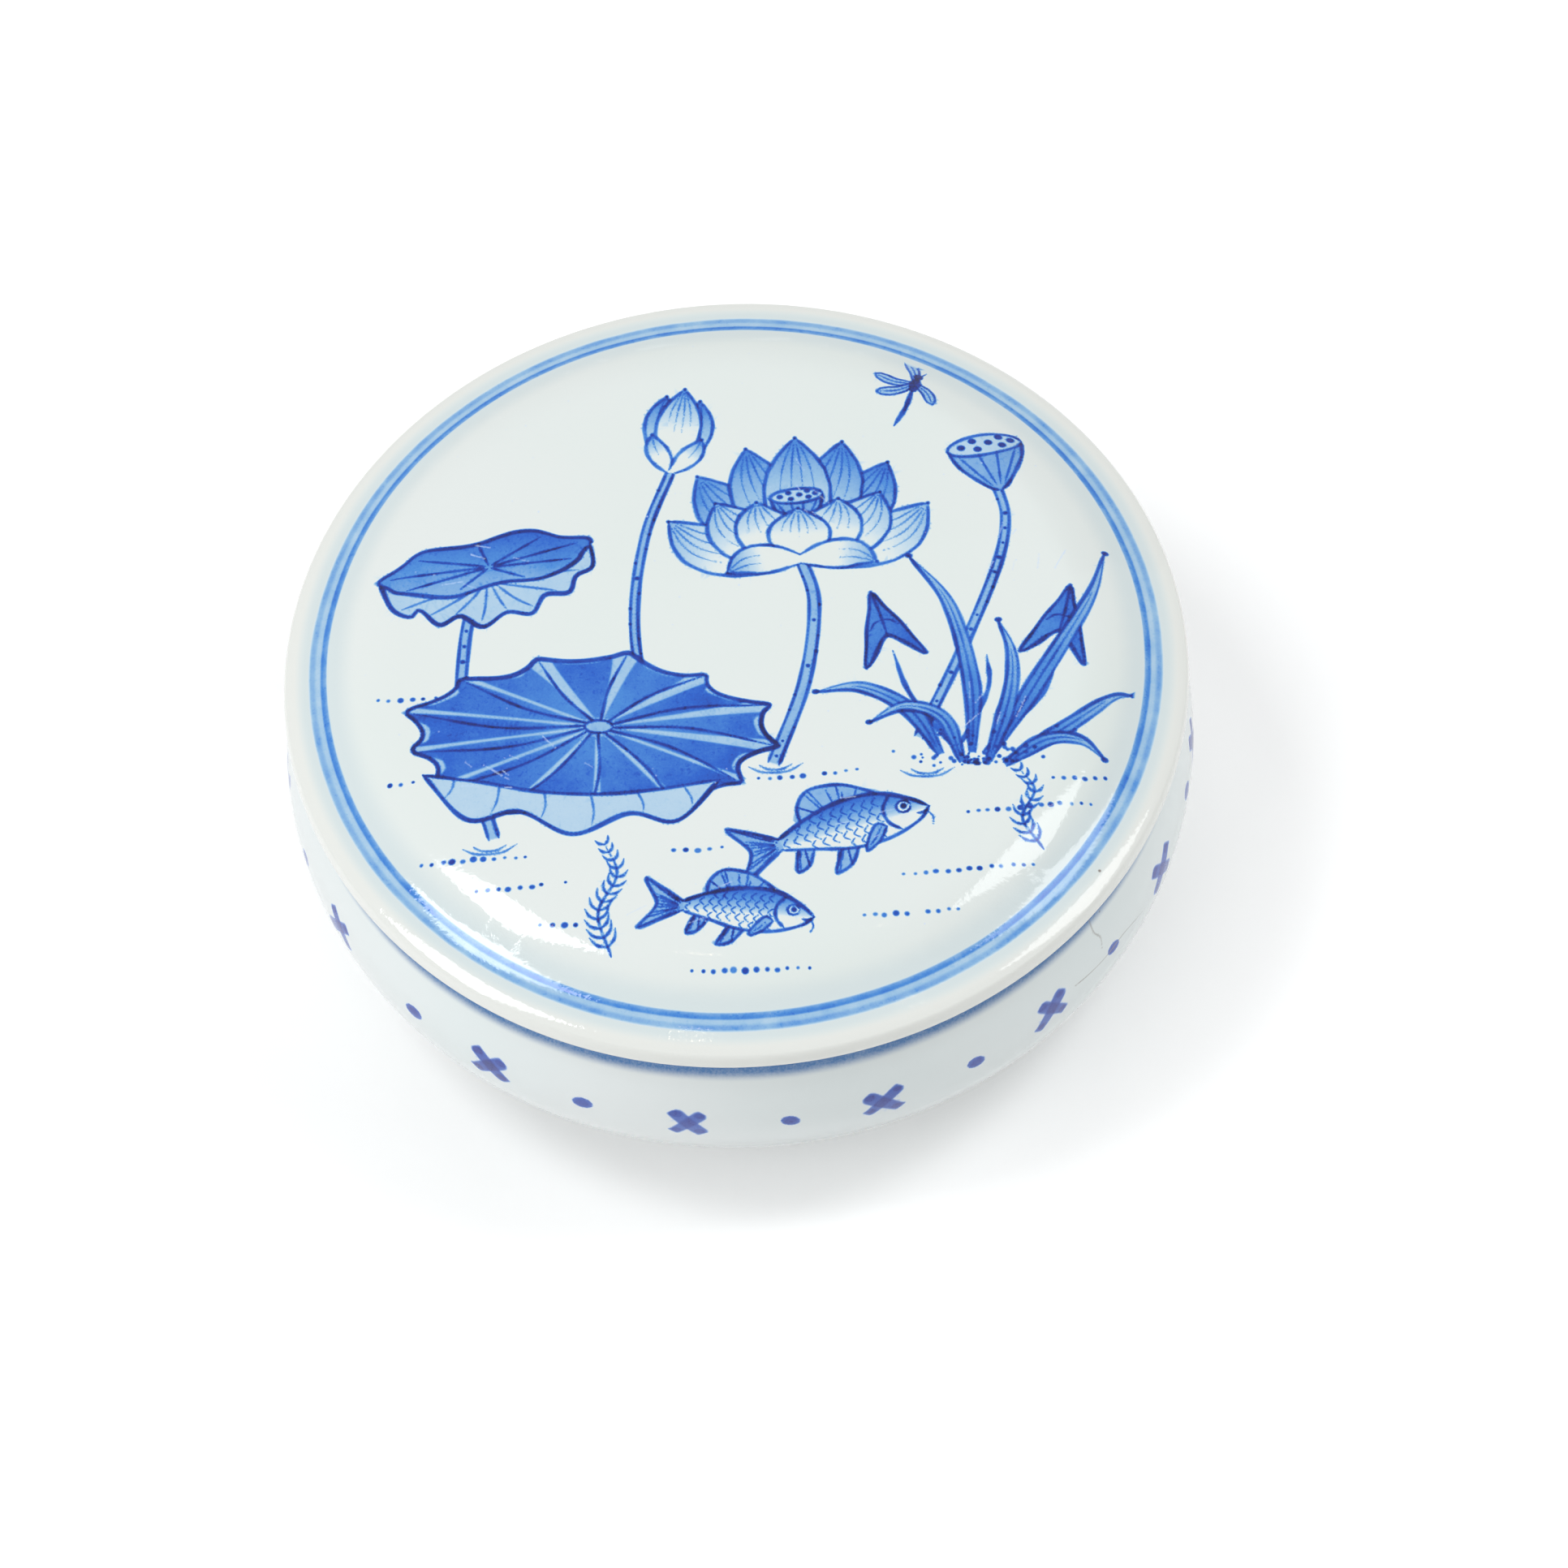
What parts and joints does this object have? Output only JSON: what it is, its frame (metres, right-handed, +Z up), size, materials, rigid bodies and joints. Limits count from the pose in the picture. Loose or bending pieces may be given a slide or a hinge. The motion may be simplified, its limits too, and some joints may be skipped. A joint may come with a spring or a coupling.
{
  "type": "seal paste box",
  "caption": "Round lidded porcelain box on a foot ring that holds red seal paste; its domed cover lifts straight off.",
  "frame": {"origin": "centre of the foot ring, on the surface that the box stands on", "axes": "+Z up along the box's axis, -Y towards the viewer of the cover's picture, +X to their right"},
  "size_m": [0.089, 0.089, 0.0348],
  "materials": {
    "porcelain": "gloss",
    "cinnabar_paste": "satin"
  },
  "bodies": {
    "dish": {"dish": "porcelain", "seal_paste": "cinnabar_paste"},
    "cover": {"cover": "porcelain"}
  },
  "joints": [
    {"name": "cover_lift", "type": "slide", "parent": "dish", "child": "cover", "axis": [0, 0, 1], "range_m": [0, 0.06]}
  ]
}
